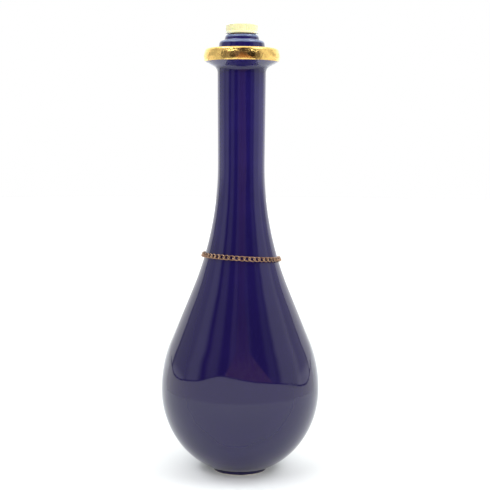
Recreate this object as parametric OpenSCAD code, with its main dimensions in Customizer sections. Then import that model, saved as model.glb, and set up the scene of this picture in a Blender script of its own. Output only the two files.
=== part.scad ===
// Tall-necked porcelain decanter with a gilded collar, a ribbed cork stopper and a neck chain.
// The axis of the bottle is Z, the foot stands on z = 0, and the front faces -Y.

/* [Belly] */
// Width of the belly at its widest
belly_d = 117.6; // [90:1:145]
// Height of the widest place above the table
belly_z = 61.2; // [48:0.2:74]
// How far the belly's curve would reach above its widest place
belly_rise = 77.2; // [64:0.2:92]
// Lean of the straight shoulder, from upright
shoulder_lean = 22.5; // [18:0.5:26]

/* [Neck] */
// Width of the neck where it is thinnest
neck_d = 34.5; // [28:0.5:42]
// Radius of the hollow curve from the shoulder into the neck
sweep_r = 241; // [190:1:290]
// How much wider the neck grows up to the collar
neck_flare = 1; // [0:0.1:3]
// Thickness of the fired wall
wall = 4.5; // [3:0.1:5.6]

/* [Foot] */
// Width of the ring that stands on the table
foot_d = 40; // [32:0.5:44]
// Width of the foot where the belly meets it
foot_top_d = 48; // [45:0.5:54]
// Height at which the foot meets the belly
foot_h = 3.9; // [3.6:0.1:6]
// Width of the bare rim under the foot
foot_rim = 4; // [2.5:0.1:5]
// Depth of the recess inside the foot ring
foot_recess = 3; // [2:0.1:4]
// Rounding of the foot's rim
foot_round = 0.8; // [0.3:0.1:1.1]

/* [Collar and lip] */
// Height of the mouth above the table
mouth_z = 322.8; // [290:1:388]
// Width of the gilded collar
collar_d = 55.6; // [50:0.2:66]
// Height of the collar's gilded edge
collar_h = 9.4; // [7:0.1:11.5]
// Slope of the collar's underside, from level
collar_slope = 27; // [15:1:40]
// Radius of the hollow curve under the collar
collar_cove_r = 5; // [3:0.1:7]
// How far the collar's edge bulges
collar_bulge = 0.7; // [0.3:0.1:1.2]
// Rounding of the collar's top edge
collar_round = 2.4; // [1.5:0.1:3]
// Width of the lower ring of the lip
lip_low_d = 34.4; // [32.8:0.2:40]
// Height of the lower ring of the lip
lip_low_h = 5.8; // [4.6:0.1:7]
// Width of the upper ring of the lip
lip_top_d = 25.8; // [24:0.2:26]
// Height of the upper ring of the lip
lip_top_h = 4.3; // [3.6:0.1:5.6]
// Rounding of the rings of the lip
lip_round = 2.2; // [1.4:0.1:2.2]
// How much each ring of the lip draws in from its foot to its top
lip_taper = 1; // [0.4:0.1:1.5]
// Width of the bore that the cork fits
bore_d = 16.6; // [13.8:0.1:20]
// Length of the bore, from the mouth down
bore_l = 34; // [28:1:41]
// Rounding of the mouth's inner edge
mouth_round = 0.9; // [0.4:0.1:1.2]
// Thickness of the gilding, as modelled
gilt_t = 0.3; // [0.2:0.05:0.5]

/* [Stopper] */
// Width of the stopper's head across its ribs
head_d = 23.2; // [19:0.2:28]
// Height of the stopper's head
head_h = 6.9; // [5.5:0.1:8.5]
// Gap between the head and the lip
head_gap = 0.7; // [0.3:0.1:1.2]
// Number of ribs round the head
rib_count = 48; // [36:1:60]
// Depth of the grooves between the ribs
rib_depth = 0.35; // [0.2:0.05:0.5]
// Height of the plain ring at the bottom of the head
head_ring_h = 1.2; // [0.8:0.1:1.6]
// How far the plain ring stands out past the ribs
head_ring_out = 0.2; // [0.1:0.05:0.5]
// Rounding of the head's top edge
head_round = 1; // [0.5:0.1:1.4]
// Length of the cork below the head
cork_l = 23; // [18:0.5:26]
// Clearance between the cork and the bore, all round
cork_clear = 0.05; // [0.02:0.01:0.1]
// Bevel at the cork's lower end
cork_bevel = 1; // [0.4:0.1:1.6]
// Width of the head's peg inside the cork
peg_d = 6; // [4.8:0.1:7.4]
// Length of the head's peg
peg_l = 13; // [10:0.5:15.5]
// Clearance round the peg and under it
peg_clear = 0.05; // [0.02:0.01:0.1]

/* [Neck chain] */
// Number of links round the neck
link_count = 48; // [44:1:56]
// Distance from one link to the next
link_pitch = 3.74; // [3.6:0.01:4.1]
// Thickness of the chain's wire
wire_d = 0.95; // [0.8:0.05:1.15]
// Height of a link
link_h = 3.8; // [3.6:0.1:4.6]
// Play between the wires of neighbouring links
link_play = 0.22; // [0.18:0.01:0.35]
// Gap between the chain and the bottle
chain_gap = 0.26; // [0.2:0.02:0.6]
// How far the front of the chain lies above level
chain_front_up = 2.7; // [0:0.1:4]
// How far the left of the chain lies above level
chain_left_up = 3.3; // [0:0.1:4]
// Width of the saw cut in the link that closes the chain
link_cut = 0.12; // [0.05:0.01:0.3]

/* [Hidden] */
$fn = 180;
curve_step = 4;
edge_step = 15;
belly_r = belly_d / 2;
neck_r = neck_d / 2;
neck_top_r = neck_r + neck_flare / 2;
bore_r = bore_d / 2;
foot_r = foot_d / 2;
collar_r = collar_d / 2;

// Shoulder: the place on the belly's upper curve that leans as the shoulder does
shoulder_a = atan(belly_rise / belly_r * tan(shoulder_lean));
shoulder_low = [belly_r * cos(shoulder_a), belly_z + belly_rise * sin(shoulder_a)];
shoulder_high_r = neck_r + sweep_r * (1 - cos(shoulder_lean));
shoulder_high_z = shoulder_low.y + (shoulder_low.x - shoulder_high_r) / tan(shoulder_lean);
// Height at which the hollow curve has become the upright neck
neck_z = shoulder_high_z + sweep_r * sin(shoulder_lean);

// Heights of the collar and the lip, from the mouth down
lip_step_z = mouth_z - lip_top_h;
collar_top_z = lip_step_z - lip_low_h;
collar_edge_z = collar_top_z - collar_h;
cove_end_a = 90 + collar_slope;
cove_end_r = neck_top_r + collar_cove_r * (1 + cos(cove_end_a));
cove_end_z = collar_edge_z - (collar_r - collar_bulge - cove_end_r) * tan(collar_slope);
cove_z = cove_end_z - collar_cove_r * sin(cove_end_a);

// The belly's lower curve comes down to the top of the foot, and would reach belly_drop at the axis
foot_top_a = -acos(foot_top_d / belly_d);
belly_drop = (belly_z - foot_h) / -sin(foot_top_a);
foot_cove_r = foot_h - foot_round * 2;
floor_z = foot_recess + wall;
floor_a = -asin((belly_z - floor_z) / (belly_drop - wall));
neck_inside_r = neck_r - wall;
bore_end_z = mouth_z - bore_l;
// The lip's top edges share the wall between the bore and the upper ring
lip_wall = lip_top_d / 2 - lip_taper - bore_r;
lip_edge_r = min(lip_round, lip_wall * 0.6);
mouth_edge_r = min(mouth_round, lip_wall * 0.3);

// Stopper
head_z = mouth_z + head_gap;
cork_r = bore_r - cork_clear;
cork_end_z = head_z - cork_l;

// Chain: the loop rests where the bottle is as wide as the loop's inside
link_amp = (wire_d + link_play) / 2;
link_half_l = (link_pitch + wire_d + link_play) / 2;
link_half_h = (link_h - wire_d) / 2;
loop_r = link_count * link_pitch / (2 * PI);
chain_off = link_amp + wire_d / 2 + chain_gap;
// Radius of the hollow curve that the chain's middle line keeps clear on
seat_sweep_r = sweep_r - chain_off;
seat_lean = acos((neck_r + sweep_r - loop_r) / seat_sweep_r);
loop_z = neck_z - seat_sweep_r * sin(seat_lean);
tilt_x = chain_front_up;
tilt_y = chain_left_up;
chain_tilt = atan(norm([tan(tilt_x), tan(tilt_y)]));
// Direction, round the axis, of the side of the loop that lies highest
high_a = atan2(-tan(tilt_x), -tan(tilt_y));
loop_shift = loop_r * sin(chain_tilt) * tan(seat_lean);
link_rings = 16;
wire_sides = 8;

function link_name(i) = str("link_", i < 10 ? "0" : "", i);

// Points of an arc about c, from angle a to angle b
function arc(c, r, a, b, step = edge_step) =
    let (n = max(2, ceil(abs(b - a) / step)))
    [for (i = [0 : n]) let (t = a + (b - a) * i / n) [c.x + r * cos(t), c.y + r * sin(t)]];

// Point of the belly's curve at angle t, taken inwards by the given depth square to the curve
function belly_point(t, reach, depth) =
    let (n = [cos(t) / belly_r, sin(t) / reach], u = n / norm(n))
    [belly_r * cos(t), belly_z + reach * sin(t)] - depth * u;

function belly_curve(a, b, reach, depth) =
    let (n = ceil(abs(b - a) / curve_step))
    [for (i = [0 : n]) belly_point(a + (b - a) * i / n, reach, depth)];

// The hollow curve from the shoulder to the neck, taken inwards by depth
function sweep_curve(depth) =
    let (n = ceil(shoulder_lean / 1.5), c = [neck_r + sweep_r, neck_z], r = sweep_r + depth)
    [for (i = [n : -1 : 0]) let (t = shoulder_lean * i / n) c - r * [cos(t), sin(t)]];

// Belly, shoulder and neck from the angle a on the lower curve upwards, taken inwards by depth
function body_curve(a, depth) = concat(
    belly_curve(a, 0, belly_drop, depth),
    belly_curve(curve_step, shoulder_a, belly_rise, depth),
    sweep_curve(depth));

// Edge of the collar, from its underside over its rounded top edge, taken inwards by depth
function collar_curve(depth) =
    let (h = collar_h - collar_round,
         bulge_r = (h * h / 4 + collar_bulge * collar_bulge) / (2 * collar_bulge),
         half_a = asin(h / 2 / bulge_r),
         c = [collar_r - bulge_r, collar_edge_z + h / 2],
         round_c = [collar_r - collar_bulge - collar_round, collar_edge_z + h])
    concat(arc(c, bulge_r - depth, -half_a, half_a, 8),
           arc(round_c, collar_round - depth, edge_step, 90),
           [[round_c.x - collar_round, collar_top_z - depth]]);

function foot_curve() =
    let (c = [foot_r - foot_round, foot_round], cove_c = [foot_r + foot_cove_r, foot_round * 2])
    concat([[0, foot_recess],
            [foot_r - foot_rim - foot_recess / 2, foot_recess],
            [foot_r - foot_rim, foot_round / 2],
            [foot_r - foot_rim + foot_round / 2, 0]],
           arc(c, foot_round, -90, 0, 30),
           arc(cove_c, foot_cove_r, 180, 120, 20));

// Radius of a lip ring's side at height z, for a ring that stands on the height low
function ring_side(r, low, lean, z) = r - (z - low) * tan(lean);

// One ring of the lip: a hollow at its foot, a side that draws in, and a rounded top edge
function ring_curve(r, low, high, edge_r) =
    let (cove_r = lip_round / 2,
         lean = atan(lip_taper / (high - low)),
         cove_x = ring_side(r, low, lean, low + cove_r * (1 - sin(lean))) + cove_r * cos(lean),
         edge_x = ring_side(r, low, lean, high - edge_r * (1 - sin(lean))) - edge_r * cos(lean))
    concat(arc([cove_x, low + cove_r], cove_r, 270, 180 + lean, 30),
           arc([edge_x, high - edge_r], edge_r, lean, 90));

function lip_curve() = concat(
    ring_curve(lip_low_d / 2, collar_top_z, lip_step_z, lip_round),
    ring_curve(lip_top_d / 2, lip_step_z, mouth_z, lip_edge_r),
    arc([bore_r + mouth_edge_r, mouth_z - mouth_edge_r], mouth_edge_r, 90, 180));

module vessel_outline() {
    gilt = collar_curve(0);
    inside = body_curve(floor_a, wall);
    polygon(concat(
        foot_curve(),
        body_curve(foot_top_a, 0),
        [[neck_top_r, cove_z]],
        arc([neck_top_r + collar_cove_r, cove_z], collar_cove_r, 180 - edge_step, cove_end_a, 10),
        [gilt[0]],
        collar_curve(gilt_t),
        [gilt[len(gilt) - 1]],
        lip_curve(),
        [[bore_r, bore_end_z], [neck_inside_r, bore_end_z - neck_inside_r + bore_r]],
        [for (i = [len(inside) - 1 : -1 : 0]) inside[i]],
        [[0, inside[0].y]]));
}

module vessel() {
    color([0.1, 0.07, 0.3]) rotate_extrude() vessel_outline();
}

module gilt_band() {
    outer = collar_curve(0);
    inner = collar_curve(gilt_t);
    color([0.83, 0.63, 0.25])
        rotate_extrude() polygon(concat(outer, [for (i = [len(inner) - 1 : -1 : 0]) inner[i]]));
}

// Ribbed disc: each rib is a flat land with a groove beside it
module ribbed_disc(top_r, root_r, h) {
    pitch_a = 360 / rib_count;
    linear_extrude(h)
        polygon([for (i = [0 : rib_count - 1], p = [[0.1, top_r], [0.5, top_r], [0.65, root_r], [0.95, root_r]])
            let (a = (i + p.x) * pitch_a) p.y * [cos(a), sin(a)]]);
}

module stopper_head() {
    rib_r = head_d / 2;
    root_r = rib_r - rib_depth;
    crown_r = root_r - rib_depth / 2;
    color([0.93, 0.9, 0.78]) translate([0, 0, head_z]) {
        cylinder(r = rib_r + head_ring_out, h = head_ring_h);
        translate([0, 0, head_ring_h]) ribbed_disc(rib_r, root_r, head_h - head_ring_h - head_round);
        translate([0, 0, head_h - head_round]) rotate_extrude()
            polygon(concat([[0, 0]], arc([crown_r - head_round, 0], head_round, 0, 90), [[0, head_round]]));
        translate([0, 0, -peg_l]) cylinder(d = peg_d, h = peg_l + head_ring_h / 2);
    }
}

module cork_shank() {
    hole_r = peg_d / 2 + peg_clear;
    hole_z = head_z - peg_l - peg_clear;
    color([0.66, 0.48, 0.3])
        rotate_extrude() polygon([
            [0, cork_end_z],
            [cork_r - cork_bevel, cork_end_z],
            [cork_r, cork_end_z + cork_bevel],
            [cork_r, head_z],
            [hole_r, head_z],
            [hole_r, hole_z],
            [0, hole_z]]);
}

// Middle line of a curb link: an oval along X, whose sides cross over from one end to the other.
// X runs along the chain, Y up the bottle and Z away from it.
function link_point(t) = [link_half_l * cos(t), link_half_h * sin(t), link_amp * sin(2 * t)];
function link_heading(t) =
    let (d = [-link_half_l * sin(t), link_half_h * cos(t), 2 * link_amp * cos(2 * t)]) d / norm(d);
function link_side(t) =
    let (d = cross(link_heading(t), [0, 0, 1])) d / norm(d);

// One link, swept round its middle line. An open link stops short by the saw cut at its middle.
module curb_link(cut = 0) {
    gap_a = cut / link_half_h * 90 / PI;
    rings = cut > 0 ? link_rings + 1 : link_rings;
    turn = cut > 0 ? 360 - 2 * gap_a : 360;
    at = [for (i = [0 : rings - 1]) 180 + gap_a + turn * i / link_rings];
    points = [for (t = at, k = [0 : wire_sides - 1])
        let (a = 360 * k / wire_sides, s = link_side(t), u = cross(s, link_heading(t)))
        link_point(t) + wire_d / 2 * (cos(a) * s + sin(a) * u)];
    n = wire_sides;
    walls = [for (i = [0 : link_rings - 1], k = [0 : n - 1])
        let (j = (i + 1) % rings, m = (k + 1) % n) each
        [[i * n + k, j * n + k, j * n + m], [i * n + k, j * n + m, i * n + m]]];
    first_end = [[for (k = [0 : n - 1]) k]];
    last_end = [[for (k = [n - 1 : -1 : 0]) link_rings * n + k]];
    polyhedron(points, cut > 0 ? concat(walls, first_end, last_end) : walls);
}

// The loop lies on a tilted circle, set over towards its low side so that it touches all round.
// Link 1 closes the loop at the back, and the others follow anticlockwise from above.
module chain_link(i) {
    a = 90 + 360 * (i - 1) / link_count;
    color([0.62, 0.42, 0.25])
        translate([-loop_shift * cos(high_a), -loop_shift * sin(high_a), loop_z])
        rotate([-tilt_x, tilt_y, 0])
        rotate([0, 0, a])
        translate([loop_r, 0, 0])
        rotate([0, -(seat_lean - chain_tilt * cos(a - high_a)), 0])
        rotate([90, 0, 90])
        curb_link(i == 1 ? link_cut : 0);
}

vessel();
gilt_band();
stopper_head();
cork_shank();
for (i = [1 : link_count])
    chain_link(i);
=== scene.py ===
"""Looks of a tall-necked cobalt decanter with a gilded collar, a corked stopper and a neck chain.

Each piece is made round the packed frame by its own operator, and so is the stage.
"""

import math

import bmesh
import bpy
import numpy as np
from bpy.props import FloatProperty, FloatVectorProperty, IntProperty, PointerProperty
from bpy.types import Operator, Panel, PropertyGroup
from mathutils import Euler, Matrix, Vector


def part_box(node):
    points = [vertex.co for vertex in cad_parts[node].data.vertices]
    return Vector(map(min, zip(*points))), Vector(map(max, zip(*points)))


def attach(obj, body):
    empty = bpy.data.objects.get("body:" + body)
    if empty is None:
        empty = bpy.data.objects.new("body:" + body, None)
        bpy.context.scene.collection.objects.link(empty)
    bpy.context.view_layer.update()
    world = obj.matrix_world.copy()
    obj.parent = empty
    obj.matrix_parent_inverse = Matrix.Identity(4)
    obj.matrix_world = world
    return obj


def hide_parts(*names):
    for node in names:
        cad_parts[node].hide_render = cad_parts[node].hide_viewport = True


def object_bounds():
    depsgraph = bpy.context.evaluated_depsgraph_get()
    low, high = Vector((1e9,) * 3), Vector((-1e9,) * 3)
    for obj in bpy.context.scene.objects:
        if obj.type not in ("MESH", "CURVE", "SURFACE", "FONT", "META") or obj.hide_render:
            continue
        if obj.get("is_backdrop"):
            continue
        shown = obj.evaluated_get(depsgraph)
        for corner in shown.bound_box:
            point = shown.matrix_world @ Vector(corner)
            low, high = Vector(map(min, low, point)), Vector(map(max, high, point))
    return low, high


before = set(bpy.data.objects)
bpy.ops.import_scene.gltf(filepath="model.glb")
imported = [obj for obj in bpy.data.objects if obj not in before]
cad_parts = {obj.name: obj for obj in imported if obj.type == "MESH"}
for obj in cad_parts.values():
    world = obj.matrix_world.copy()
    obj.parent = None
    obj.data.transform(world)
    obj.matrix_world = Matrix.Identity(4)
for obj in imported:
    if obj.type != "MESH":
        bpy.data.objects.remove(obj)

bl_info = {
    "name": "Cobalt decanter with gilded collar",
    "version": (1, 0, 0),
    "blender": (4, 5, 0),
    "location": "3D View > Sidebar > Decanter",
    "description": "Makes the decanter's glazed body, gilding, stopper, neck chain and stage",
    "category": "Object",
}

CAD_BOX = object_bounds()
MM = 0.001
MERGE = 0.001 * MM
CREASE = math.radians(30)
LINKS = sorted(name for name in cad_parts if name.startswith("link_"))
RIB_FACETS, CORK_FACETS = 8, 96


def size_of(node):
    """Width across X and the lowest and highest places of a CAD node."""
    low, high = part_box(node)
    return high.x - low.x, low.z, high.z


BODY_W, _, MOUTH_Z = size_of("vessel")
COLLAR_W, COLLAR_LOW, COLLAR_HIGH = size_of("gilt_band")
HEAD_W, PEG_LOW, HEAD_HIGH = size_of("stopper_head")
CORK_W, CORK_LOW, CORK_HIGH = size_of("cork_shank")


# ------------ sizes and colours


def kind_of_size(make, **settings):
    """Gives a maker of properties of one kind, each with its name, description and default."""

    def named(name, description, default):
        return make(name=name, description=description, default=default, **settings)

    return named


length = kind_of_size(FloatProperty, min=0, unit="LENGTH", precision=5)
turning = kind_of_size(FloatProperty, unit="ROTATION")
power = kind_of_size(FloatProperty, unit="POWER")
brightness = kind_of_size(FloatProperty, min=0, soft_max=5)
share = kind_of_size(FloatProperty, min=0, max=1, subtype="FACTOR")
colour = kind_of_size(FloatVectorProperty, min=0, max=1, size=3, subtype="COLOR")
count = kind_of_size(IntProperty, min=3)


def angle(name, description, degrees):
    return turning(name, description, math.radians(degrees))


class DecanterBodySizes(PropertyGroup):
    belly_w: length("Belly width", "Width of the belly at its widest", BODY_W)
    belly_z: length("Belly height", "Height of the belly's widest place", 61.2 * MM)
    belly_rise: length("Belly rise", "How far the belly's curve would reach up", 77.2 * MM)
    lean: angle("Shoulder lean", "Lean of the straight shoulder, from upright", 22.5)
    neck_w: length("Neck width", "Width of the neck where it is thinnest", 34.5 * MM)
    sweep: length("Sweep radius", "Radius of the hollow curve into the neck", 241 * MM)
    flare: length("Neck flare", "How much wider the neck grows up to the collar", 1 * MM)
    wall: length("Wall", "Thickness of the fired wall", 4.5 * MM)
    foot_w: length("Foot width", "Width of the ring that stands on the table", 40 * MM)
    foot_top_w: length("Foot top width", "Width where the belly meets the foot", 48 * MM)
    foot_h: length("Foot height", "Height at which the foot meets the belly", 3.9 * MM)
    foot_rim: length("Foot rim", "Width of the bare rim under the foot", 4 * MM)
    foot_recess: length("Foot recess", "Depth of the recess inside the foot ring", 3 * MM)
    foot_round: length("Foot rounding", "Rounding of the foot's rim", 0.8 * MM)
    mouth_z: length("Mouth height", "Height of the mouth above the table", MOUTH_Z)
    collar_w: length("Collar width", "Width of the gilded collar", COLLAR_W)
    collar_low: length("Collar low edge", "Height of the gilding's low edge", COLLAR_LOW)
    collar_high: length("Collar top", "Height of the collar's flat top", COLLAR_HIGH)
    collar_slope: angle("Collar slope", "Slope of the collar's underside, from level", 27)
    collar_cove: length("Collar hollow", "Radius of the hollow curve under the collar", 5 * MM)
    collar_bulge: length("Collar bulge", "How far the collar's edge bulges", 0.7 * MM)
    collar_round: length("Collar rounding", "Rounding of the collar's top edge", 2.4 * MM)
    lip_low_w: length("Lower ring width", "Width of the lip's lower ring", 34.4 * MM)
    lip_top_w: length("Upper ring width", "Width of the lip's upper ring", 25.8 * MM)
    lip_top_h: length("Upper ring height", "Height of the lip's upper ring", 4.3 * MM)
    lip_round: length("Lip rounding", "Rounding of the lip's rings", 2.2 * MM)
    lip_taper: length("Lip taper", "How much each ring draws in towards its top", 1 * MM)
    bore_w: length("Bore width", "Width of the bore that the cork fits", 16.6 * MM)
    bore_l: length("Bore length", "Length of the bore, from the mouth down", 34 * MM)
    mouth_round: length("Mouth rounding", "Rounding of the mouth's inner edge", 0.9 * MM)
    gilt: length("Gilding thickness", "Thickness of the gilding, as modelled", 0.3 * MM)
    segments: count("Facets round", "Faces round the axis of the body", 192)


class DecanterStopperSizes(PropertyGroup):
    head_w: length("Head width", "Width of the plain ring of the head", HEAD_W)
    head_top: length("Head top", "Height of the head's crown", HEAD_HIGH)
    head_low: length("Head underside", "Height of the head's underside", CORK_HIGH)
    ring_h: length("Ring height", "Height of the plain ring under the ribs", 1.2 * MM)
    ring_out: length("Ring step", "How far the plain ring stands out past the ribs", 0.2 * MM)
    rib_depth: length("Rib depth", "Depth of the grooves between the ribs", 0.35 * MM)
    ribs: count("Ribs", "Number of ribs round the head", 48)
    crown_round: length("Crown rounding", "Rounding of the head's top edge", 1 * MM)
    peg_w: length("Peg width", "Width of the peg inside the cork", 6 * MM)
    peg_low: length("Peg end", "Height of the peg's lower end", PEG_LOW)
    peg_room: length("Peg clearance", "Clearance round the peg and under it", 0.05 * MM)
    cork_w: length("Cork width", "Width of the cork", CORK_W)
    cork_low: length("Cork end", "Height of the cork's lower end", CORK_LOW)
    cork_bevel: length("Cork bevel", "Bevel at the cork's lower end", 1 * MM)


class DecanterChainSizes(PropertyGroup):
    half_l: length("Half length", "Half a link's middle line, along the chain", 2.4575 * MM)
    half_h: length("Half height", "Half a link's middle line, up the bottle", 1.425 * MM)
    crossing: length("Crossing", "How far a link's sides swing out and in", 0.585 * MM)
    wire: length("Wire", "Thickness of the wire", 0.95 * MM)
    filed: length("Filed flat", "Half the depth left when the faces are filed flat", 0.98 * MM)
    cut: length("Saw cut", "Width of the cut in the closing link", 0.12 * MM)
    rings: count("Facets along", "Faces along each link's wire", 36)
    sides: count("Facets round", "Faces round the wire", 10)


class DecanterFinishes(PropertyGroup):
    cobalt: colour("Cobalt", "Glaze over the belly", (0.0078, 0.0044, 0.043))
    # Paler glaze up the neck: painted light, standing in for the stronger light at the top.
    neck_glaze: colour("Neck glaze", "Glaze that has run thinner up the neck", (0.0135, 0.0083, 0.092))
    # Partly glaze thinned off an edge, partly a painted reflection of the lit ceiling on the rings'
    # tops.
    thin_glaze_and_sheen: colour("Thin glaze", "Glaze where it has run off an edge", (0.17, 0.22, 0.37))
    pooled_glaze: colour("Pooled glaze", "Glaze where it has gathered", (0.004, 0.003, 0.03))
    biscuit: colour("Bare rim", "Unglazed body under the foot", (0.62, 0.57, 0.49))
    gold: colour("Gold", "Burnished gilding", (1.0, 0.69, 0.20))
    old_gold: colour("Old gold", "Gilding that has dulled", (0.78, 0.42, 0.12))
    ivory: colour("Ivory", "Moulded plastic of the head", (1.0, 0.99, 0.55))
    ivory_grime: colour("Grime", "Dirt held between the ribs", (0.88, 0.83, 0.40))
    cork: colour("Cork", "Pale body of the cork", (0.46, 0.28, 0.13))
    cork_pore: colour("Cork pore", "Pores and streaks in the cork", (0.10, 0.045, 0.018))
    brass: colour("Brass", "Rubbed brass of the chain", (0.50, 0.33, 0.21))
    tarnish: colour("Tarnish", "Brass that fingers do not reach", (0.15, 0.065, 0.04))
    gloss: share("Glaze roughness", "Roughness of the fired glaze", 0.06)


class DecanterStage(PropertyGroup):
    eye_away: length("Camera distance", "From the bottle's axis to the camera", 811.7 * MM)
    eye_height: length("Camera height", "Height of the camera above the table", 245.1 * MM)
    eye_tilt: angle("Camera tilt", "How far the camera looks down", 5.349)
    eye_turn: angle("Camera turn", "How far the camera looks past the bottle", 0.215)
    eye_roll: angle("Camera roll", "How far the camera leans", 0.31)
    view_angle: angle("Angle of view", "Width of the camera's view", 25.12)
    table_reach: length("Table reach", "How far the table reaches behind and beside", 4.0)
    table_glow: share("Table glow", "Light that the lit sheet adds of its own, far out", 0.3)
    lip_away: length("Sheet lip distance", "From the axis to the sheet's turned-up front", 0.36)
    # Painted shadow: height of the dark strip that stands in for the shade along the sheet's edge.
    lip_shadow: length("Sheet hem", "Height of the dark hem along the turned-up front", 6 * MM)
    fill_light: power("Fill light", "Power of the soft light in front", 17)
    surround: brightness("Surround", "Brightness of the white surround", 1.35)
    ceiling: brightness("Ceiling", "Brightness of the lit ceiling", 1.6)


GROUPS = {
    "decanter_body": DecanterBodySizes,
    "decanter_stopper": DecanterStopperSizes,
    "decanter_chain": DecanterChainSizes,
    "decanter_finishes": DecanterFinishes,
    "decanter_stage": DecanterStage,
}


# ------------ node trees


OPAQUE = 1.0
WHITE, BLACK = (1.0, 1.0, 1.0), (0.0, 0.0, 0.0)
SHADE = (0.02, 0.02, 0.02)
DIM_ROOM = (0.02, 0.015, 0.02)


class Sketch:
    """Adds nodes to a tree. An input takes a value, or the output that it is linked to."""

    def __init__(self, tree):
        self.tree = tree

    def join(self, value, socket):
        if isinstance(value, bpy.types.NodeSocket):
            self.tree.links.new(value, socket)
        elif socket.type == "RGBA":
            socket.default_value = (*value, OPAQUE)
        else:
            socket.default_value = value

    def add(self, kind, inputs=(), **settings):
        made = self.tree.nodes.new(kind)
        for name, value in settings.items():
            setattr(made, name, value)
        for key, value in dict(inputs).items():
            self.join(value, made.inputs[key])
        return made

    def math(self, operation, *values, clamp=False):
        settings = {"operation": operation, "use_clamp": clamp}
        return self.add("ShaderNodeMath", enumerate(values), **settings).outputs[0]

    def plus(self, *values):
        return self.math("ADD", *values)

    def minus(self, *values):
        return self.math("SUBTRACT", *values)

    def times(self, *values):
        return self.math("MULTIPLY", *values)

    def ratio(self, *values):
        return self.math("DIVIDE", *values)

    def highest(self, *values):
        return self.math("MAXIMUM", *values)

    def shape(self, kind, inputs=(), **settings):
        """First output of a new geometry node."""
        return self.add("GeometryNode" + kind, inputs, **settings).outputs[0]

    def circle(self, steps, radius):
        inputs = {"Resolution": steps, "Radius": radius}
        return self.shape("CurvePrimitiveCircle", inputs, mode="RADIUS")

    def upright(self, curve):
        return self.shape("SetCurveNormal", {"Curve": curve}, mode="Z_UP")

    def note(self, geometry, name, value, domain):
        """Keeps a value on the geometry under a name, for its finish to read."""
        inputs = {"Geometry": geometry, "Name": name, "Value": value}
        return self.shape("StoreNamedAttribute", inputs, data_type="FLOAT", domain=domain)

    def finished(self, geometry, material):
        real = self.shape("RealizeInstances", {0: geometry})
        return self.shape("SetMaterial", {"Geometry": real, "Material": material})

    def vector(self, operation, *values):
        return self.add("ShaderNodeVectorMath", enumerate(values), operation=operation).outputs[0]

    def split(self, vector):
        return self.add("ShaderNodeSeparateXYZ", {0: vector}).outputs

    def combine(self, x=0.0, y=0.0, z=0.0):
        return self.add("ShaderNodeCombineXYZ", {0: x, 1: y, 2: z}).outputs[0]

    def mix(self, factor, first, second, blend="MIX"):
        inputs = {0: factor, 6: first, 7: second}
        settings = {"data_type": "RGBA", "blend_type": blend}
        return self.add("ShaderNodeMix", inputs, **settings).outputs[2]

    def fade(self, value, start, end, low=0.0, high=1.0):
        """Smooth change from low at start to high at end."""
        inputs = {"Value": value, 1: start, 2: end, 3: low, 4: high}
        made = self.add("ShaderNodeMapRange", inputs, interpolation_type="SMOOTHSTEP")
        return made.outputs["Result"]

    def noise(self, vector, size, detail=2.0, roughness=0.5):
        """Soft random value from 0 to 1, with features about size across."""
        scale = self.ratio(1.0, size)
        inputs = {"Vector": vector, "Scale": scale, "Detail": detail, "Roughness": roughness}
        return self.add("ShaderNodeTexNoise", inputs).outputs[0]

    def length(self, x, y):
        return self.math("SQRT", self.plus(self.math("POWER", x, 2.0), self.math("POWER", y, 2.0)))

    def radius(self, position):
        """Distance from the bottle's axis."""
        x, y, _ = self.split(position)
        return self.length(x, y)

    def group(self, tree, **inputs):
        made = self.tree.nodes.new("ShaderNodeGroup")
        made.node_tree = tree
        for key, value in inputs.items():
            self.join(value, made.inputs[key.replace("_", " ")])
        return made.outputs[0]


VALUE, VECTOR, COLOUR = "NodeSocketFloat", "NodeSocketVector", "NodeSocketColor"
COUNT, GEOMETRY, MATERIAL = "NodeSocketInt", "NodeSocketGeometry", "NodeSocketMaterial"


def group_tree(name, kind, result, inputs, draw):
    """A new node group. An input is given as its default number, or as the kind of its socket.

    The inside is drawn by a function that takes the sketch and every input, under its own name.
    """
    tree = bpy.data.node_groups.new(name, kind)
    for word, given in inputs.items():
        socket = {int: COUNT, float: VALUE}.get(type(given), given)
        made = tree.interface.new_socket(word.replace("_", " "), in_out="INPUT", socket_type=socket)
        if socket != given:
            made.default_value = given
    tree.interface.new_socket("Result", in_out="OUTPUT", socket_type=result)
    sketch = Sketch(tree)
    given = zip(inputs, sketch.add("NodeGroupInput").outputs)
    drawn = draw(sketch, **{word.lower(): socket for word, socket in given})
    sketch.join(drawn, sketch.add("NodeGroupOutput").inputs[0])
    return tree


def shared(kind, result, **inputs):
    """Builds a node group the first time that it is asked for, and hands the same one on after."""

    def wrap(draw):
        name = draw.__doc__.split(":")[0]

        def fetch():
            return bpy.data.node_groups.get(name) or group_tree(name, kind, result, inputs, draw)

        return fetch

    return wrap


def effect(**inputs):
    """A shared shader group that starts from a position."""
    return shared("ShaderNodeTree", VALUE, Position=VECTOR, **inputs)


def build(**inputs):
    """A shared Geometry Nodes group that makes a mesh."""
    return shared("GeometryNodeTree", GEOMETRY, **inputs)


@effect(Low=0.0, High=1.0, Softness=MM)
def height_band(s, position, low, high, softness):
    """Height band: 1 between two heights, and 0 beyond them."""
    z = s.split(position)[2]
    under = s.minus(low, softness)
    over = s.plus(high, softness)
    above = s.fade(z, under, low)
    below = s.fade(z, high, over, 1.0, 0.0)
    return s.times(above, below)


@effect(Amount=0.3, Patch_Size=4 * MM)
def settled_dust(s, position, amount, patch_size):
    """Settled dust: patchy film on faces that look up."""
    up = s.split(s.add("ShaderNodeNewGeometry").outputs["Normal"])[2]
    patch = s.fade(s.noise(position, patch_size, 6.0, 0.65), 0.35, 0.7)
    film = s.times(s.fade(up, 0.55, 1.0), patch)
    return s.times(film, amount)


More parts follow.
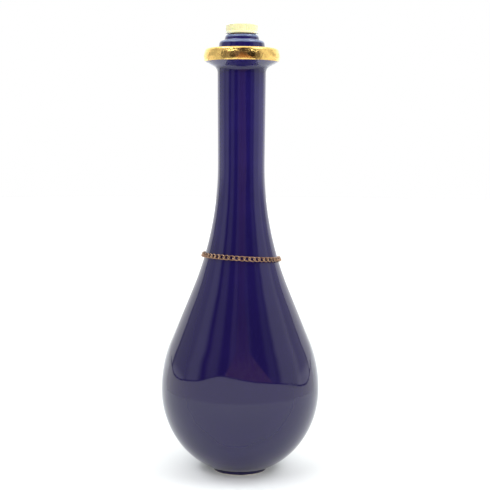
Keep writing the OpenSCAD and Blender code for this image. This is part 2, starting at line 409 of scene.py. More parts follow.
@effect(Mask=0.0, Patch_Size=MM, Amount=0.5)
def rubbed_place(s, position, mask, patch_size, amount):
    """Rubbed place: breaks a soft mask up into worn patches."""
    patch = s.noise(position, patch_size, 8.0, 0.7)
    reach = s.times(mask, amount)
    edge = s.minus(1.0, reach)
    return s.fade(patch, s.minus(edge, 0.06), s.plus(edge, 0.06))


@effect(Spacing=0.4 * MM, Run=0.6)
def fine_lines(s, position, spacing, run):
    """Fine lines: hairlines that run round the axis, as wiping and turning leave them."""
    x, y, z = s.split(position)
    turn = s.times(s.math("ARCTAN2", y, x), run)
    rise = s.ratio(z, spacing)
    away = s.ratio(s.radius(position), spacing)
    lines = s.add(
        "ShaderNodeTexNoise",
        {"Vector": s.combine(turn, away, rise), "Scale": 1.0, "Detail": 3.0, "Roughness": 0.6},
    )
    return lines.outputs[0]


@effect(Wave_Size=14 * MM, Ripple_Size=MM, Ripple=0.2)
def uneven_skin(s, position, wave_size, ripple_size, ripple):
    """Uneven skin: slow waves and a finer ripple in a fired or polished surface."""
    wave = s.noise(position, wave_size, 1.0, 0.4)
    fine = s.noise(position, ripple_size, 2.0, 0.5)
    return s.plus(wave, s.times(fine, ripple))


class Shader:
    """A node whose inputs are set, or linked, by their names."""

    def __init__(self, sketch, name):
        self.sketch = sketch
        self.inputs = sketch.tree.nodes[name].inputs

    def __setitem__(self, name, value):
        self.sketch.join(value, self.inputs[name])


def finish(name):
    """An empty material, its sketch, its shader and the object's own coordinates."""
    material = bpy.data.materials.new(name)
    material.use_nodes = True
    sketch = Sketch(material.node_tree)
    shader = Shader(sketch, "Principled BSDF")
    position = sketch.add("ShaderNodeTexCoord").outputs["Object"]
    return material, sketch, shader, position


def dent(sketch, height, strength, distance, **normal):
    """Turns a height into a bumped normal, on top of another Normal where one is given."""
    inputs = {"Strength": strength, "Distance": distance, "Height": height, **normal}
    return sketch.add("ShaderNodeBump", inputs).outputs[0]


def skin_dent(sketch, position, waves, ripples, ripple, strength, distance):
    """Bump of an uneven skin: size of its waves and ripples, and the ripples' share of it."""
    sizes = {"Wave_Size": waves, "Ripple_Size": ripples, "Ripple": ripple}
    skin = sketch.group(uneven_skin(), Position=position, **sizes)
    return dent(sketch, skin, strength, distance)


# ------------ finishes


def cobalt_glaze(finishes, body):
    """Fired glaze: thin over the lip's edges, gathered under the collar, bare under the foot."""
    material, s, shader, position = finish("cobalt_glaze")
    drift = s.noise(position, 35 * MM, 3.0, 0.6)
    cloud = s.fade(drift, 0.3, 0.7, 0.0, 0.35)
    # Paler towards the collar: painted light, the top lit more strongly than the belly.
    run = s.fade(s.split(position)[2], body.belly_z, body.collar_low)
    tint = s.mix(run, finishes.cobalt, finishes.neck_glaze)
    tint = s.mix(cloud, tint, finishes.pooled_glaze)

    lip_step = body.mouth_z - body.lip_top_h
    band = height_band()
    wander = s.times(s.minus(s.noise(position, 5 * MM, 2.0), 0.5), 0.6 * MM)
    uneven = s.vector("ADD", position, s.combine(0.0, 0.0, wander))
    # Pale blue bands along the top of each ring: partly glaze thinning at the edge, partly a painted
    # reflection of the lit ceiling.
    edge_band_depth = 1.3 * MM
    edges = [
        s.group(band, Position=uneven, Low=top - edge_band_depth, High=top, Softness=MM)
        for top in (body.mouth_z, lip_step, body.collar_high)
    ]
    thin_and_sheen = s.highest(s.highest(edges[0], edges[1]), s.times(edges[2], 0.5))
    tint = s.mix(s.times(thin_and_sheen, 0.9), tint, finishes.thin_glaze_and_sheen)

    hollow_z = body.collar_low - 6 * MM
    near = {"Low": hollow_z - MM, "High": hollow_z + MM, "Softness": 2 * MM}
    pooled = s.group(band, Position=uneven, **near)
    tint = s.mix(s.times(pooled, 0.5), tint, finishes.pooled_glaze)

    pits = s.add("ShaderNodeTexVoronoi", {"Vector": position, "Scale": 1 / (2.2 * MM)})
    rare = s.fade(s.split(pits.outputs["Color"])[0], 0.90, 0.92)
    pit = s.times(s.fade(pits.outputs["Distance"], 0.0, 0.09, 1.0, 0.0), rare)

    bare = s.group(band, Position=uneven, Low=-1 * MM, High=0.5 * MM, Softness=0.12 * MM)
    grit = s.noise(position, 0.5 * MM, 4.0, 0.7)
    biscuit = s.mix(s.fade(grit, 0.35, 0.75, 0.0, 0.5), finishes.biscuit, (0.2, 0.16, 0.12))
    tint = s.mix(bare, tint, biscuit)
    dust = s.group(settled_dust(), Position=position, Amount=0.10, Patch_Size=3 * MM)
    tint = s.mix(s.times(dust, 0.5), tint, (0.35, 0.33, 0.32))
    shader["Base Color"] = tint

    lines = s.group(fine_lines(), Position=position, Spacing=0.35 * MM, Run=0.8)
    smear = s.fade(s.noise(position, 18 * MM, 4.0, 0.65), 0.4, 0.75, 0.0, 0.05)
    rough = s.plus(s.plus(finishes.gloss, smear), s.times(dust, 0.5))
    rough = s.plus(rough, s.fade(lines, 0.62, 0.72, 0.0, 0.03))
    rough = s.highest(rough, s.times(bare, 0.85))
    shader["Roughness"] = rough

    normal = skin_dent(s, position, 16 * MM, 1.8 * MM, 0.035, 0.35, 0.35 * MM)
    normal = dent(s, s.minus(1.0, pit), 0.5, 0.08 * MM, Normal=normal)
    shader["Normal"] = dent(s, s.times(grit, bare), 0.6, 0.15 * MM, Normal=normal)
    shader["IOR"] = 1.5
    return material


def burnished_gold(finishes, body):
    """Brushed-on gilding: dulled in patches, rubbed through to the glaze along its edges."""
    material, s, shader, position = finish("gilding")
    old = s.fade(s.noise(position, 2.4 * MM, 5.0, 0.65), 0.42, 0.68)
    tint = s.mix(s.times(old, 0.55), finishes.gold, finishes.old_gold)
    z = s.split(position)[2]
    round_z = body.collar_high - body.collar_round * 0.55
    crest = s.fade(s.math("ABSOLUTE", s.minus(z, round_z)), 0.0, 1.1 * MM, 1.0, 0.0)
    foot = s.fade(z, body.collar_low, body.collar_low + 0.35 * MM, 1.0, 0.0)
    rubbed = s.group(
        rubbed_place(),
        Position=position,
        Mask=s.highest(s.times(crest, 0.75), foot),
        Patch_Size=0.8 * MM,
        Amount=0.46,
    )
    tint = s.mix(rubbed, tint, finishes.cobalt)
    shader["Base Color"] = tint
    shader["Metallic"] = s.minus(1.0, s.times(rubbed, 0.95))
    lines = s.group(fine_lines(), Position=position, Spacing=0.22 * MM, Run=2.0)
    rough = s.plus(s.fade(lines, 0.3, 0.8, 0.10, 0.26), s.times(old, 0.10))
    shader["Roughness"] = rough
    normal = skin_dent(s, position, 1.9 * MM, 0.8 * MM, 0.4, 0.6, 0.28 * MM)
    shader["Normal"] = dent(s, lines, 0.2, 0.02 * MM, Normal=normal)
    return material


def ivory_plastic(finishes, stopper):
    """Moulded plastic: slightly mottled, grimy between the ribs, scuffed on the crown."""
    material, s, shader, position = finish("ivory_plastic")
    mottle = s.fade(s.noise(position, 3 * MM, 4.0, 0.6), 0.3, 0.75, 0.0, 0.35)
    tint = s.mix(mottle, finishes.ivory, (0.98, 0.97, 0.50))
    rib_r = stopper.head_w / 2 - stopper.ring_out
    inner = s.fade(s.radius(position), rib_r - stopper.rib_depth, rib_r - 0.1 * MM, 1.0, 0.0)
    side = s.group(
        height_band(),
        Position=position,
        Low=stopper.head_low + stopper.ring_h,
        High=stopper.head_top - stopper.crown_round,
        Softness=0.15 * MM,
    )
    held = s.times(inner, side)
    patch = s.fade(s.noise(position, 1.5 * MM, 3.0), 0.25, 0.7, 0.35, 1.0)
    grime = s.times(s.times(held, patch), 0.2)
    tint = s.mix(grime, tint, finishes.ivory_grime)
    dust = s.group(settled_dust(), Position=position, Amount=0.12, Patch_Size=1.5 * MM)
    tint = s.mix(dust, tint, (0.60, 0.57, 0.45))
    # Painted sheen: the colour turns whiter where the surface turns away from view.
    painted_sheen = s.add("ShaderNodeLayerWeight", {"Blend": 0.5}).outputs["Facing"]
    tint = s.mix(s.fade(painted_sheen, 0.25, 0.8), tint, (1.0, 1.0, 0.92))
    shader["Base Color"] = tint
    scuff = s.fade(s.noise(position, 0.9 * MM, 6.0, 0.7), 0.5, 0.7, 0.0, 0.18)
    rough = s.plus(s.plus(0.32, scuff), s.times(dust, 0.4))
    shader["Roughness"] = rough
    shader["Normal"] = skin_dent(s, position, 4 * MM, 0.25 * MM, 0.12, 0.3, 0.08 * MM)
    shader["IOR"] = 1.49
    shader["Subsurface Weight"] = 0.12
    shader["Subsurface Scale"] = 1 * MM
    return material


def cork_bark(finishes):
    """Punched cork: pale body, dark pores across the grain, stained at the lower end."""
    material, s, shader, position = finish("cork")
    grain = s.noise(s.vector("MULTIPLY", position, (1.0, 0.45, 1.6)), 1.6 * MM, 6.0, 0.65)
    tint = s.mix(s.fade(grain, 0.3, 0.75, 0.0, 0.6), finishes.cork, (0.62, 0.42, 0.22))
    stretched = s.vector("MULTIPLY", position, (1.0, 0.35, 1.0))
    cells = s.add("ShaderNodeTexVoronoi", {"Vector": stretched, "Scale": 1 / (1.5 * MM)})
    pore = s.fade(cells.outputs["Distance"], 0.10, 0.30, 1.0, 0.0)
    some = s.fade(s.split(cells.outputs["Color"])[0], 0.55, 0.6)
    pore = s.times(pore, some)
    tint = s.mix(pore, tint, finishes.cork_pore)
    stain = s.group(height_band(), Position=position, Low=0.0, High=CORK_LOW + 5 * MM, Softness=3 * MM)
    tint = s.mix(s.times(stain, 0.45), tint, (0.16, 0.05, 0.03))
    shader["Base Color"] = tint
    shader["Roughness"] = s.fade(grain, 0.3, 0.7, 0.75, 0.9)
    height = s.minus(s.times(grain, 0.3), pore)
    shader["Normal"] = dent(s, height, 0.6, 0.25 * MM)
    return material


def aged_brass(finishes):
    """Chain brass: bright where links rub and hands reach, tarnished in between."""
    material, s, shader, position = finish("chain_brass")
    rub, tone, inner = (
        s.add("ShaderNodeAttribute", attribute_name=word).outputs["Fac"]
        for word in ("rub", "tone", "inner")
    )
    cloud = s.fade(s.noise(position, 1.1 * MM, 5.0, 0.65), 0.35, 0.7)
    dull = s.times(s.minus(1.0, rub), 0.45)
    dull = s.plus(dull, s.times(inner, 0.55))
    dull = s.plus(dull, s.times(cloud, 0.25))
    dull = s.math("MULTIPLY", dull, s.plus(0.75, s.times(tone, 0.5)), clamp=True)
    tint = s.mix(dull, finishes.brass, finishes.tarnish)
    shader["Base Color"] = tint
    shader["Metallic"] = s.minus(1.0, s.times(dull, 0.35))
    shader["Roughness"] = s.plus(0.2, s.times(dull, 0.3))
    shader["Normal"] = skin_dent(s, position, 0.9 * MM, 0.2 * MM, 0.3, 0.35, 0.06 * MM)
    return material


# ------------ shapes that follow a rule


@build(Outline=GEOMETRY, Segments=96, Turning_Radius=50 * MM, Finish=MATERIAL)
def lathe(s, outline, segments, turning_radius, finish):
    """Lathe: turns an outline drawn in the XZ plane round the Z axis."""
    x, _, z = s.split(s.shape("InputPosition"))
    flat = s.combine(s.minus(x, turning_radius), s.times(z, -1.0))
    line = s.shape("MeshToCurve", {"Mesh": outline})
    profile = s.shape("SetPosition", {"Geometry": line, "Position": flat})
    ring = s.upright(s.circle(segments, turning_radius))
    turned = s.shape("CurveToMesh", {"Curve": ring, "Profile Curve": profile})
    closed = s.shape("MergeByDistance", {"Geometry": turned, "Distance": MERGE})
    return s.finished(closed, finish)


RIB_SIZES = {"Rib_Depth": 0.3 * MM, "Low": 0.0, "High": 1.0, "Inner_Radius": 9 * MM}


@build(Outline=GEOMETRY, Facets_Per_Rib=8, Ribs=48, **RIB_SIZES, Finish=MATERIAL)
def ribbed_lathe(s, outline, facets_per_rib, ribs, rib_depth, low, high, inner_radius, finish):
    """Ribbed lathe: turns an outline, then presses grooves between evenly spaced ribs."""
    facets = s.times(ribs, facets_per_rib)
    inputs = {"Outline": outline, "Segments": facets, "Finish": finish}
    turn = s.shape("Group", node_tree=lathe())
    for label, value in inputs.items():
        s.join(value, turn.node.inputs[label])
    position = s.shape("InputPosition")
    x, y, z = s.split(position)
    around = s.times(s.math("ARCTAN2", y, x), ribs)
    first_rib = math.radians(108)
    wave = s.math("COSINE", s.minus(around, first_rib))
    groove = s.fade(wave, -0.55, 0.15, 1.0, 0.0)
    end = 0.25 * MM
    side = s.fade(z, low, s.plus(low, end))
    top = s.fade(z, s.minus(high, end), high, 1.0, 0.0)
    radius = s.radius(position)
    outer = s.fade(radius, inner_radius, s.plus(inner_radius, MM))
    depth = s.times(s.times(side, top), s.times(groove, outer))
    shrink = s.times(s.ratio(rib_depth, radius), depth)
    move = s.vector("MULTIPLY", position, s.combine(*[s.times(shrink, -1.0)] * 2))
    pressed = s.shape("SetPosition", {"Geometry": turn, "Offset": move})
    return s.finished(pressed, finish)


LINK_SIZES = {
    "Half_Length": "half_l",
    "Half_Height": "half_h",
    "Crossing": "crossing",
    "Wire": "wire",
    "Filed_Flat": "filed",
    "Rings": "rings",
    "Sides": "sides",
    "Saw_Cut": "cut",
}
LINK_SOCKETS = {size: COUNT if size in ("Rings", "Sides") else VALUE for size in LINK_SIZES}


@build(**LINK_SOCKETS)
def curb_link(s, half_length, half_height, crossing, wire, filed_flat, rings, sides, saw_cut):
    """Curb link: an oval of wire whose sides cross over, filed flat on its two faces."""
    is_cut = s.math("GREATER_THAN", saw_cut, 0.0)
    whole = s.circle(rings, 1.0)
    oval = s.shape("SetSplineCyclic", {"Geometry": whole, "Cyclic": s.minus(1.0, is_cut)})
    gap = s.ratio(s.ratio(saw_cut, 2.0), half_height)
    steps = s.minus(rings, is_cut)
    step = s.ratio(s.minus(math.tau, s.times(gap, 2.0)), steps)
    index = s.shape("InputIndex")
    turn = s.plus(s.plus(gap, math.pi), s.times(index, step))
    along = s.times(half_length, s.math("COSINE", turn))
    up = s.times(half_height, s.math("SINE", turn))
    out = s.times(crossing, s.math("SINE", s.times(turn, 2.0)))
    bent = s.shape("SetPosition", {"Geometry": oval, "Position": s.combine(along, up, out)})
    ends = s.math("POWER", s.math("ABSOLUTE", s.math("COSINE", turn)), 2.0)
    level = s.upright(s.note(bent, "rub", ends, "POINT"))
    section = s.circle(sides, s.ratio(wire, 2.0))
    swept = s.shape("CurveToMesh", {"Curve": level, "Profile Curve": section, "Fill Caps": True})
    position = s.shape("InputPosition")
    x, y, z = s.split(position)
    low = s.times(filed_flat, -1.0)
    filed = s.highest(s.math("MINIMUM", z, filed_flat), low)
    flat = s.shape("SetPosition", {"Geometry": swept, "Position": s.combine(x, y, filed)})
    middle = s.length(x, y)
    reach = s.plus(half_height, s.times(wire, 0.35))
    inner = s.fade(middle, s.minus(reach, wire), reach, 1.0, 0.0)
    return s.note(flat, "inner", inner, "POINT")


@build(Places=GEOMETRY, **LINK_SOCKETS, Seed=7, Finish=MATERIAL)
def link_chain(s, places, seed, finish, **sizes):
    """Link chain: puts a curb link on each point, along and outward as the point says."""
    link = s.shape("Group", node_tree=curb_link())
    for word, size in sizes.items():
        s.join(size, link.node.inputs[word.replace("_", " ").title()])
    along, outward = (
        s.shape("InputNamedAttribute", {"Name": word}, data_type="FLOAT_VECTOR")
        for word in ("along", "outward")
    )
    turn = s.add(
        "FunctionNodeAxesToRotation", {0: along, 1: outward}, primary_axis="X", secondary_axis="Z"
    ).outputs[0]
    inputs = {"Points": places, "Instance": link, "Rotation": turn}
    placed = s.shape("InstanceOnPoints", inputs)
    tone = s.add("FunctionNodeRandomValue", {"Seed": seed}, data_type="FLOAT").outputs[1]
    return s.finished(s.note(placed, "tone", tone, "INSTANCE"), finish)


def new_object(name, vertices, edges=(), faces=()):
    mesh = bpy.data.meshes.new(name)
    mesh.from_pydata(vertices, edges, faces)
    made = bpy.data.objects.new(name, mesh)
    bpy.context.scene.collection.objects.link(made)
    return made


def outline_object(name, points, closed=False):
    """A line of edges in the XZ plane through the points, which are (radius, height)."""
    kept = [points[0]]
    for point in points[1:]:
        if math.dist(point, kept[-1]) > 10 * MERGE:
            kept.append(point)
    edges = [(i, i + 1) for i in range(len(kept) - 1)]
    if closed:
        edges.append((len(kept) - 1, 0))
    return new_object(name, [(r, 0.0, z) for r, z in kept], edges)


def grow(piece, tree, values):
    """Runs a Geometry Nodes tree on the piece and keeps the result as its plain mesh."""
    modifier = piece.modifiers.new(tree.name, "NODES")
    modifier.node_group = tree
    for item in tree.interface.items_tree:
        word = item.name.replace(" ", "_")
        if item.in_out == "INPUT" and word in values:
            modifier[item.identifier] = values[word]
    depsgraph = bpy.context.evaluated_depsgraph_get()
    mesh = bpy.data.meshes.new_from_object(piece.evaluated_get(depsgraph))
    piece.modifiers.clear()
    drawn = piece.data
    piece.data = mesh
    bpy.data.meshes.remove(drawn)
    mesh.name = piece.name


def tidy_mesh(piece):
    """Faces outwards, smooth all over apart from real creases."""
    made = bmesh.new()
    made.from_mesh(piece.data)
    bmesh.ops.recalc_face_normals(made, faces=made.faces)
    made.to_mesh(piece.data)
    made.free()
    piece.data.shade_smooth()
    piece.data.set_sharp_from_angle(angle=CREASE)
    if not piece.data.polygons:
        raise RuntimeError(f"{piece.name} came out empty")


def make_piece(piece, tree, body, nodes, values):
    """Grows a piece and fixes it to its CAD body, in place of the nodes that it stands for."""
    grow(piece, tree, values)
    tidy_mesh(piece)
    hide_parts(*nodes)
    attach(piece, body)


# ------------ outlines


def arc(centre, radius, start, end, step=6.0):
    """Points of an arc from one angle to another, in degrees."""
    steps = max(2, math.ceil(abs(end - start) / step))
    turns = [math.radians(start + (end - start) * i / steps) for i in range(steps + 1)]
    return [(centre[0] + radius * math.cos(t), centre[1] + radius * math.sin(t)) for t in turns]


def belly_arc(body, reach, start, end, depth):
    """The belly's curve between two angles, taken inwards by depth square to the curve."""
    half = body.belly_w / 2
    points = []
    for turn in np.radians(np.linspace(start, end, max(2, math.ceil(abs(end - start) / 1.5)) + 1)):
        square = Vector((math.cos(turn) / half, math.sin(turn) / reach)).normalized()
        on_curve = Vector((half * math.cos(turn), body.belly_z + reach * math.sin(turn)))
        points.append(tuple(on_curve - depth * square))
    return points


def body_curve(body, start, drop, depth):
    """Belly, straight shoulder and swept neck, from an angle on the lower curve upwards."""
    half, lean = body.belly_w / 2, math.degrees(body.lean)
    turn = math.degrees(math.atan(body.belly_rise / half * math.tan(body.lean)))
    low_x = half * math.cos(math.radians(turn))
    low_z = body.belly_z + body.belly_rise * math.sin(math.radians(turn))
    high_x = body.neck_w / 2 + body.sweep * (1 - math.cos(body.lean))
    high_z = low_z + (low_x - high_x) / math.tan(body.lean)
    centre = (body.neck_w / 2 + body.sweep, high_z + body.sweep * math.sin(body.lean))
    return [
        *belly_arc(body, drop, start, 0, depth),
        *belly_arc(body, body.belly_rise, 0, turn, depth),
        *arc(centre, body.sweep + depth, 180 + lean, 180, 0.75),
    ]


def collar_curve(body, depth):
    """Edge of the collar, from its underside over its rounded top edge."""
    high = body.collar_high - body.collar_low - body.collar_round
    bulge = (high * high / 4 + body.collar_bulge**2) / (2 * body.collar_bulge)
    half = math.degrees(math.asin(high / 2 / bulge))
    centre = (body.collar_w / 2 - bulge, body.collar_low + high / 2)
    top_x = body.collar_w / 2 - body.collar_bulge - body.collar_round
    top = (top_x, body.collar_high - body.collar_round)
    return [
        *arc(centre, bulge - depth, -half, half, 3),
        *arc(top, body.collar_round - depth, 15, 90),
        (top_x - body.collar_round, body.collar_high - depth),
    ]


def foot_curve(body):
    """Recess, bare rim and hollow side of the foot, from the axis outwards."""
    foot_r, rim, soft = body.foot_w / 2, body.foot_rim, body.foot_round
    hollow = body.foot_h - 2 * soft
    inner = foot_r - rim
    return [
        (0.0, body.foot_recess),
        (inner - body.foot_recess, body.foot_recess),
        *arc((inner - body.foot_recess, body.foot_recess * 0.6), body.foot_recess * 0.4, 80, 20),
        (inner, soft / 2),
        *arc((inner + soft, soft / 2), soft / 2, 200, 270, 20)[1:],
        *arc((foot_r - soft, soft), soft, 270, 360, 15),
        *arc((foot_r + hollow, 2 * soft), hollow, 180, 120, 5),
    ]


def ring_curve(body, radius, low, high, edge):
    """One ring of the lip: hollow at its foot, side drawn in, top edge rounded."""
    cove = body.lip_round / 2
    lean = math.atan(body.lip_taper / (high - low))

    def side(height):
        return radius - height * math.tan(lean)

    cove_x = side(cove * (1 - math.sin(lean))) + cove * math.cos(lean)
    edge_x = side(high - low - edge * (1 - math.sin(lean))) - edge * math.cos(lean)
    return [
        *arc((cove_x, low + cove), cove, 270, 180 + math.degrees(lean), 10),
        *arc((edge_x, high - edge), edge, math.degrees(lean), 90),
    ]


def lip_curve(body):
    """The lip's lower and upper rings, up to the mouth's inner edge."""
    top_r, bore_r = body.lip_top_w / 2, body.bore_w / 2
    step_z = body.mouth_z - body.lip_top_h
    lip_wall = top_r - body.lip_taper - bore_r
    rim = min(body.lip_round, lip_wall * 0.6)
    mouth = min(body.mouth_round, lip_wall * 0.3)
    return [
        *ring_curve(body, body.lip_low_w / 2, body.collar_high, step_z, body.lip_round),
        *ring_curve(body, top_r, step_z, body.mouth_z, rim),
        *arc((bore_r + mouth, body.mouth_z - mouth), mouth, 90, 180, 10),
    ]


def body_outline(body):
    """Whole section of the glazed body, from the axis under the foot to the axis inside."""
    half = body.belly_w / 2
    foot_turn = -math.acos(body.foot_top_w / 2 / half)
    drop = (body.belly_z - body.foot_h) / -math.sin(foot_turn)
    floor_z = body.foot_recess + body.wall
    floor_turn = -math.asin((body.belly_z - floor_z) / (drop - body.wall))
    inside = body_curve(body, math.degrees(floor_turn), drop, body.wall)
    neck_top = (body.neck_w + body.flare) / 2
    slope = math.degrees(body.collar_slope)
    cove_end = arc((neck_top + body.collar_cove, 0.0), body.collar_cove, 180, 90 + slope)[-1]
    gilt_edge = collar_curve(body, 0.0)
    run = gilt_edge[0][0] - cove_end[0]
    cove_z = body.collar_low - run * math.tan(body.collar_slope) - cove_end[1]
    bore_r, inner_r = body.bore_w / 2, body.neck_w / 2 - body.wall
    bore_end = body.mouth_z - body.bore_l
    return [
        *foot_curve(body),
        *body_curve(body, math.degrees(foot_turn), drop, 0.0),
        *arc((neck_top + body.collar_cove, cove_z), body.collar_cove, 180, 90 + slope),
        gilt_edge[0],
        *collar_curve(body, body.gilt),
        gilt_edge[-1],
        *lip_curve(body),
        (bore_r, bore_end),
        (inner_r, bore_end - inner_r + bore_r),
        *reversed(inside),
        (0.0, inside[0][1]),
    ]


def head_outline(stopper):
    """Crown, ribbed side, plain ring and peg of the stopper's head."""
    ring_r = stopper.head_w / 2
    rib_r = ring_r - stopper.ring_out
    low, top, soft = stopper.head_low, stopper.head_top, stopper.crown_round
    ring_top, peg_r = low + stopper.ring_h, stopper.peg_w / 2
    edge = 0.15 * MM
    dish = 0.12 * MM
    mould_mark = 2 * MM
    rib_steps = np.linspace(ring_top, top - soft, 12)
    crown_r = rib_r - 1.5 * stopper.rib_depth
    return [
        (0.0, stopper.peg_low),
        (peg_r - 2 * edge, stopper.peg_low),
        (peg_r, stopper.peg_low + 2 * edge),
        (peg_r, low),
        *arc((ring_r - edge, low + edge), edge, -90, 0, 30),
        *arc((ring_r - edge, ring_top - edge), edge, 0, 90, 30),
        *[(rib_r, z) for z in rib_steps],
        *arc((crown_r - soft, top - soft), soft, 0, 84),
        *arc((crown_r * 0.62, top - 0.25 * dish), 0.25 * dish, 90, 120, 15),
        (crown_r * 0.60, top - dish),
        (mould_mark, top - dish),
        (mould_mark - 0.2 * MM, top - 1.6 * dish),
        (0.0, top - 1.7 * dish),
    ]


def cork_outline(stopper):
    """Bevelled cork with the hole that takes the peg."""
    cork_r, hole_r = stopper.cork_w / 2, stopper.peg_w / 2 + stopper.peg_room
    hole_z = stopper.peg_low - stopper.peg_room
    soft = 0.25 * MM
    bevel = stopper.cork_bevel
    return [
        (0.0, stopper.cork_low),
        (cork_r - bevel - soft, stopper.cork_low),
        (cork_r - bevel * 0.8, stopper.cork_low + soft * 0.4),
        (cork_r - soft * 0.3, stopper.cork_low + bevel - soft),
        (cork_r, stopper.cork_low + bevel + soft),
        (cork_r, stopper.head_low),
        (hole_r, stopper.head_low),
        (hole_r, hole_z),
        (0.0, hole_z),
    ]


def link_places(name, nodes):
    """A point at the middle of each CAD link, with the way it runs and the way it faces."""
    middles, alongs, outwards = [], [], []
    for node in nodes:
        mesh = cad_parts[node].data
        corners = np.array([vertex.co for vertex in mesh.vertices])
        low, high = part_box(node)
        middle = np.array((low + high) / 2)
        _, _, axes = np.linalg.svd(corners - corners.mean(0), full_matrices=False)
        away = axes[2] * np.sign(axes[2][:2] @ middle[:2])
        middles.append(tuple(middle))
        alongs.append(axes[0])
        outwards.append(away)
    places = new_object(name, middles)
    for word, vectors in (("along", alongs), ("outward", outwards)):
        attribute = places.data.attributes.new(word, "FLOAT_VECTOR", "POINT")
        attribute.data.foreach_set("vector", np.ravel(vectors))
    return places


# ------------ stage


STRIP_SIZES = dict.fromkeys(("Centre", "Half_Width", "Softness", "Lowest", "Highest"), 0.0)


@shared("ShaderNodeTree", COLOUR, Heading=0.0, Rise=0.0, **STRIP_SIZES, Tint=COLOUR)
def soft_strip(s, heading, rise, centre, half_width, softness, lowest, highest, tint):
    """Soft strip: a soft-edged upright strip of light in the surround."""
    off = s.math("ABSOLUTE", s.minus(heading, centre))
    wide = s.plus(half_width, softness)
    across = s.fade(off, half_width, wide, 1.0, 0.0)
    under = s.fade(rise, s.minus(lowest, 6.0), lowest)
    over = s.fade(rise, highest, s.plus(highest, 6.0), 1.0, 0.0)
    mask = s.times(across, s.times(under, over))
    return s.mix(1.0, tint, s.combine(mask, mask, mask), "MULTIPLY")


# Strips of the room in front of the bottle: heading in degrees (0 is the front, right is plus),
# half width, softness, lowest and highest rise, and colour.
ROOM_STRIPS = {
    "left of the hanging": (-13, 2, 6, -40, 60, (0.28, 0.22, 0.32)),
    "right of the hanging": (15, 1, 6, -40, 60, (0.16, 0.14, 0.20)),
    "left doorway": (-44, 4, 10, -40, 75, (0.34, 0.32, 0.36)),
    "right doorway": (50, 2, 9, -40, 75, (0.22, 0.22, 0.25)),
    "left wall": (-74, 5, 12, -60, 90, (0.76, 0.76, 0.84)),
    "left panel": (-104, 12, 12, -60, 90, (0.55, 0.55, 0.60)),
    "right wall": (79, 12, 12, -60, 90, (0.90, 0.90, 0.94)),
    "right panel": (110, 10, 12, -60, 90, (0.66, 0.66, 0.70)),
    "left low panel": (-108, 10, 12, -60, -1, (0.45, 0.45, 0.50)),
    "right low panel": (112, 10, 12, -60, -1, (0.45, 0.45, 0.50)),
    "left window": (-84, 22, 14, 52, 58, (6.0, 6.1, 6.4)),
    "right window": (84, 22, 14, 52, 58, (6.0, 6.1, 6.4)),
    "left lamp": (-38, 14, 10, 44, 48, (6.0, 6.0, 6.3)),
    "right lamp": (48, 12, 10, 44, 48, (5.0, 5.0, 5.3)),
}

# All in degrees: where the ceiling starts and is full, where the white behind the bottle starts
# to the left and right of the front, and how far it leans in towards the top.
CEILING_RISE = (60.0, 74.0)
WHITE_HEADING = 126.0
WHITE_LEAN = 22.0

# Turned-up front of the white sheet: heading in degrees, and height in millimetres.
SHEET_LIP = (
    (-126, 105),
    (-114, 70),
    (-98, 58),
    (-60, 89),
    (-26, 149),
    (8, 118),
    (42, 95),
    (72, 68),
    (100, 31),
    (114, 44),
    (126, 96),
)

# Places along the sheet's front edge and along its back, and how many of them are evened out
FRONT_PLACES, BACK_PLACES, SOFTENED = 125, 60, 13

# Red cloth behind the sheet's front: height in millimetres, and its left and right edge in degrees.
HANGING = ((90, -26, 46), (160, -20, 34), (210, -14, 26), (300, -8, 15), (400, -4, 8), (520, -3, 4))


def surround_light(stage):
    """White behind and beside, a dim room in front and a lit ceiling, seen only in reflections."""
    world = bpy.data.worlds.new("Surround")
    bpy.context.scene.world = world
    world.use_nodes = True
    s = Sketch(world.node_tree)
    x, y, z = s.split(s.add("ShaderNodeTexCoord").outputs["Generated"])
    heading = s.math("DEGREES", s.math("ARCTAN2", x, s.times(y, -1.0)))
    rise = s.math("DEGREES", s.math("ARCSINE", z))
    white = [stage.surround] * 3
    light = DIM_ROOM
    for *sizes, tint in ROOM_STRIPS.values():
        values = dict(zip(STRIP_SIZES, sizes))
        strip = s.group(soft_strip(), Heading=heading, Rise=rise, **values, Tint=tint)
        light = s.mix(1.0, light, strip, "ADD")
    ceiling = s.fade(rise, *CEILING_RISE)
    light = s.mix(ceiling, light, [stage.ceiling] * 3)
    # The side edges of the white lean in towards the top, each with a thin shadow along it
    lean = s.fade(rise, -4.0, CEILING_RISE[0], 0.0, WHITE_LEAN)
    inside = s.minus(s.plus(s.math("ABSOLUTE", heading), lean), WHITE_HEADING)
    shadow = s.fade(s.math("ABSOLUTE", s.plus(inside, 1.3)), 0.3, 1.3, 0.65, 0.0)
    light = s.mix(shadow, light, SHADE)
    light = s.mix(s.fade(inside, -0.6, 0.3), light, white)
    seen = s.add("ShaderNodeLightPath").outputs["Is Camera Ray"]
    Shader(s, "Background")["Color"] = s.mix(seen, light, WHITE)


def turned(away, degrees, height):
    """A place at a distance from the axis, by its heading and height."""
    heading = math.radians(degrees)
    return away * math.sin(heading), -away * math.cos(heading), height


def white_cloth(stage):
    """Bleached cloth: fine fibres, lit through from below further out."""
    material, s, shader, position = finish("white_cloth")
    fibre = s.noise(position, 1.5 * MM, 5.0, 0.7)
    shader["Base Color"] = s.mix(fibre, (0.87, 0.90, 0.88), (0.91, 0.94, 0.92))
    far = s.fade(s.radius(position), 300 * MM, 1.2, 0.0, stage.table_glow)
    shader["Emission Color"] = s.mix(far, BLACK, WHITE)
    shader["Emission Strength"] = 1.0
    shader["Roughness"] = 0.8
    shader["Specular IOR Level"] = 0.1
    return material


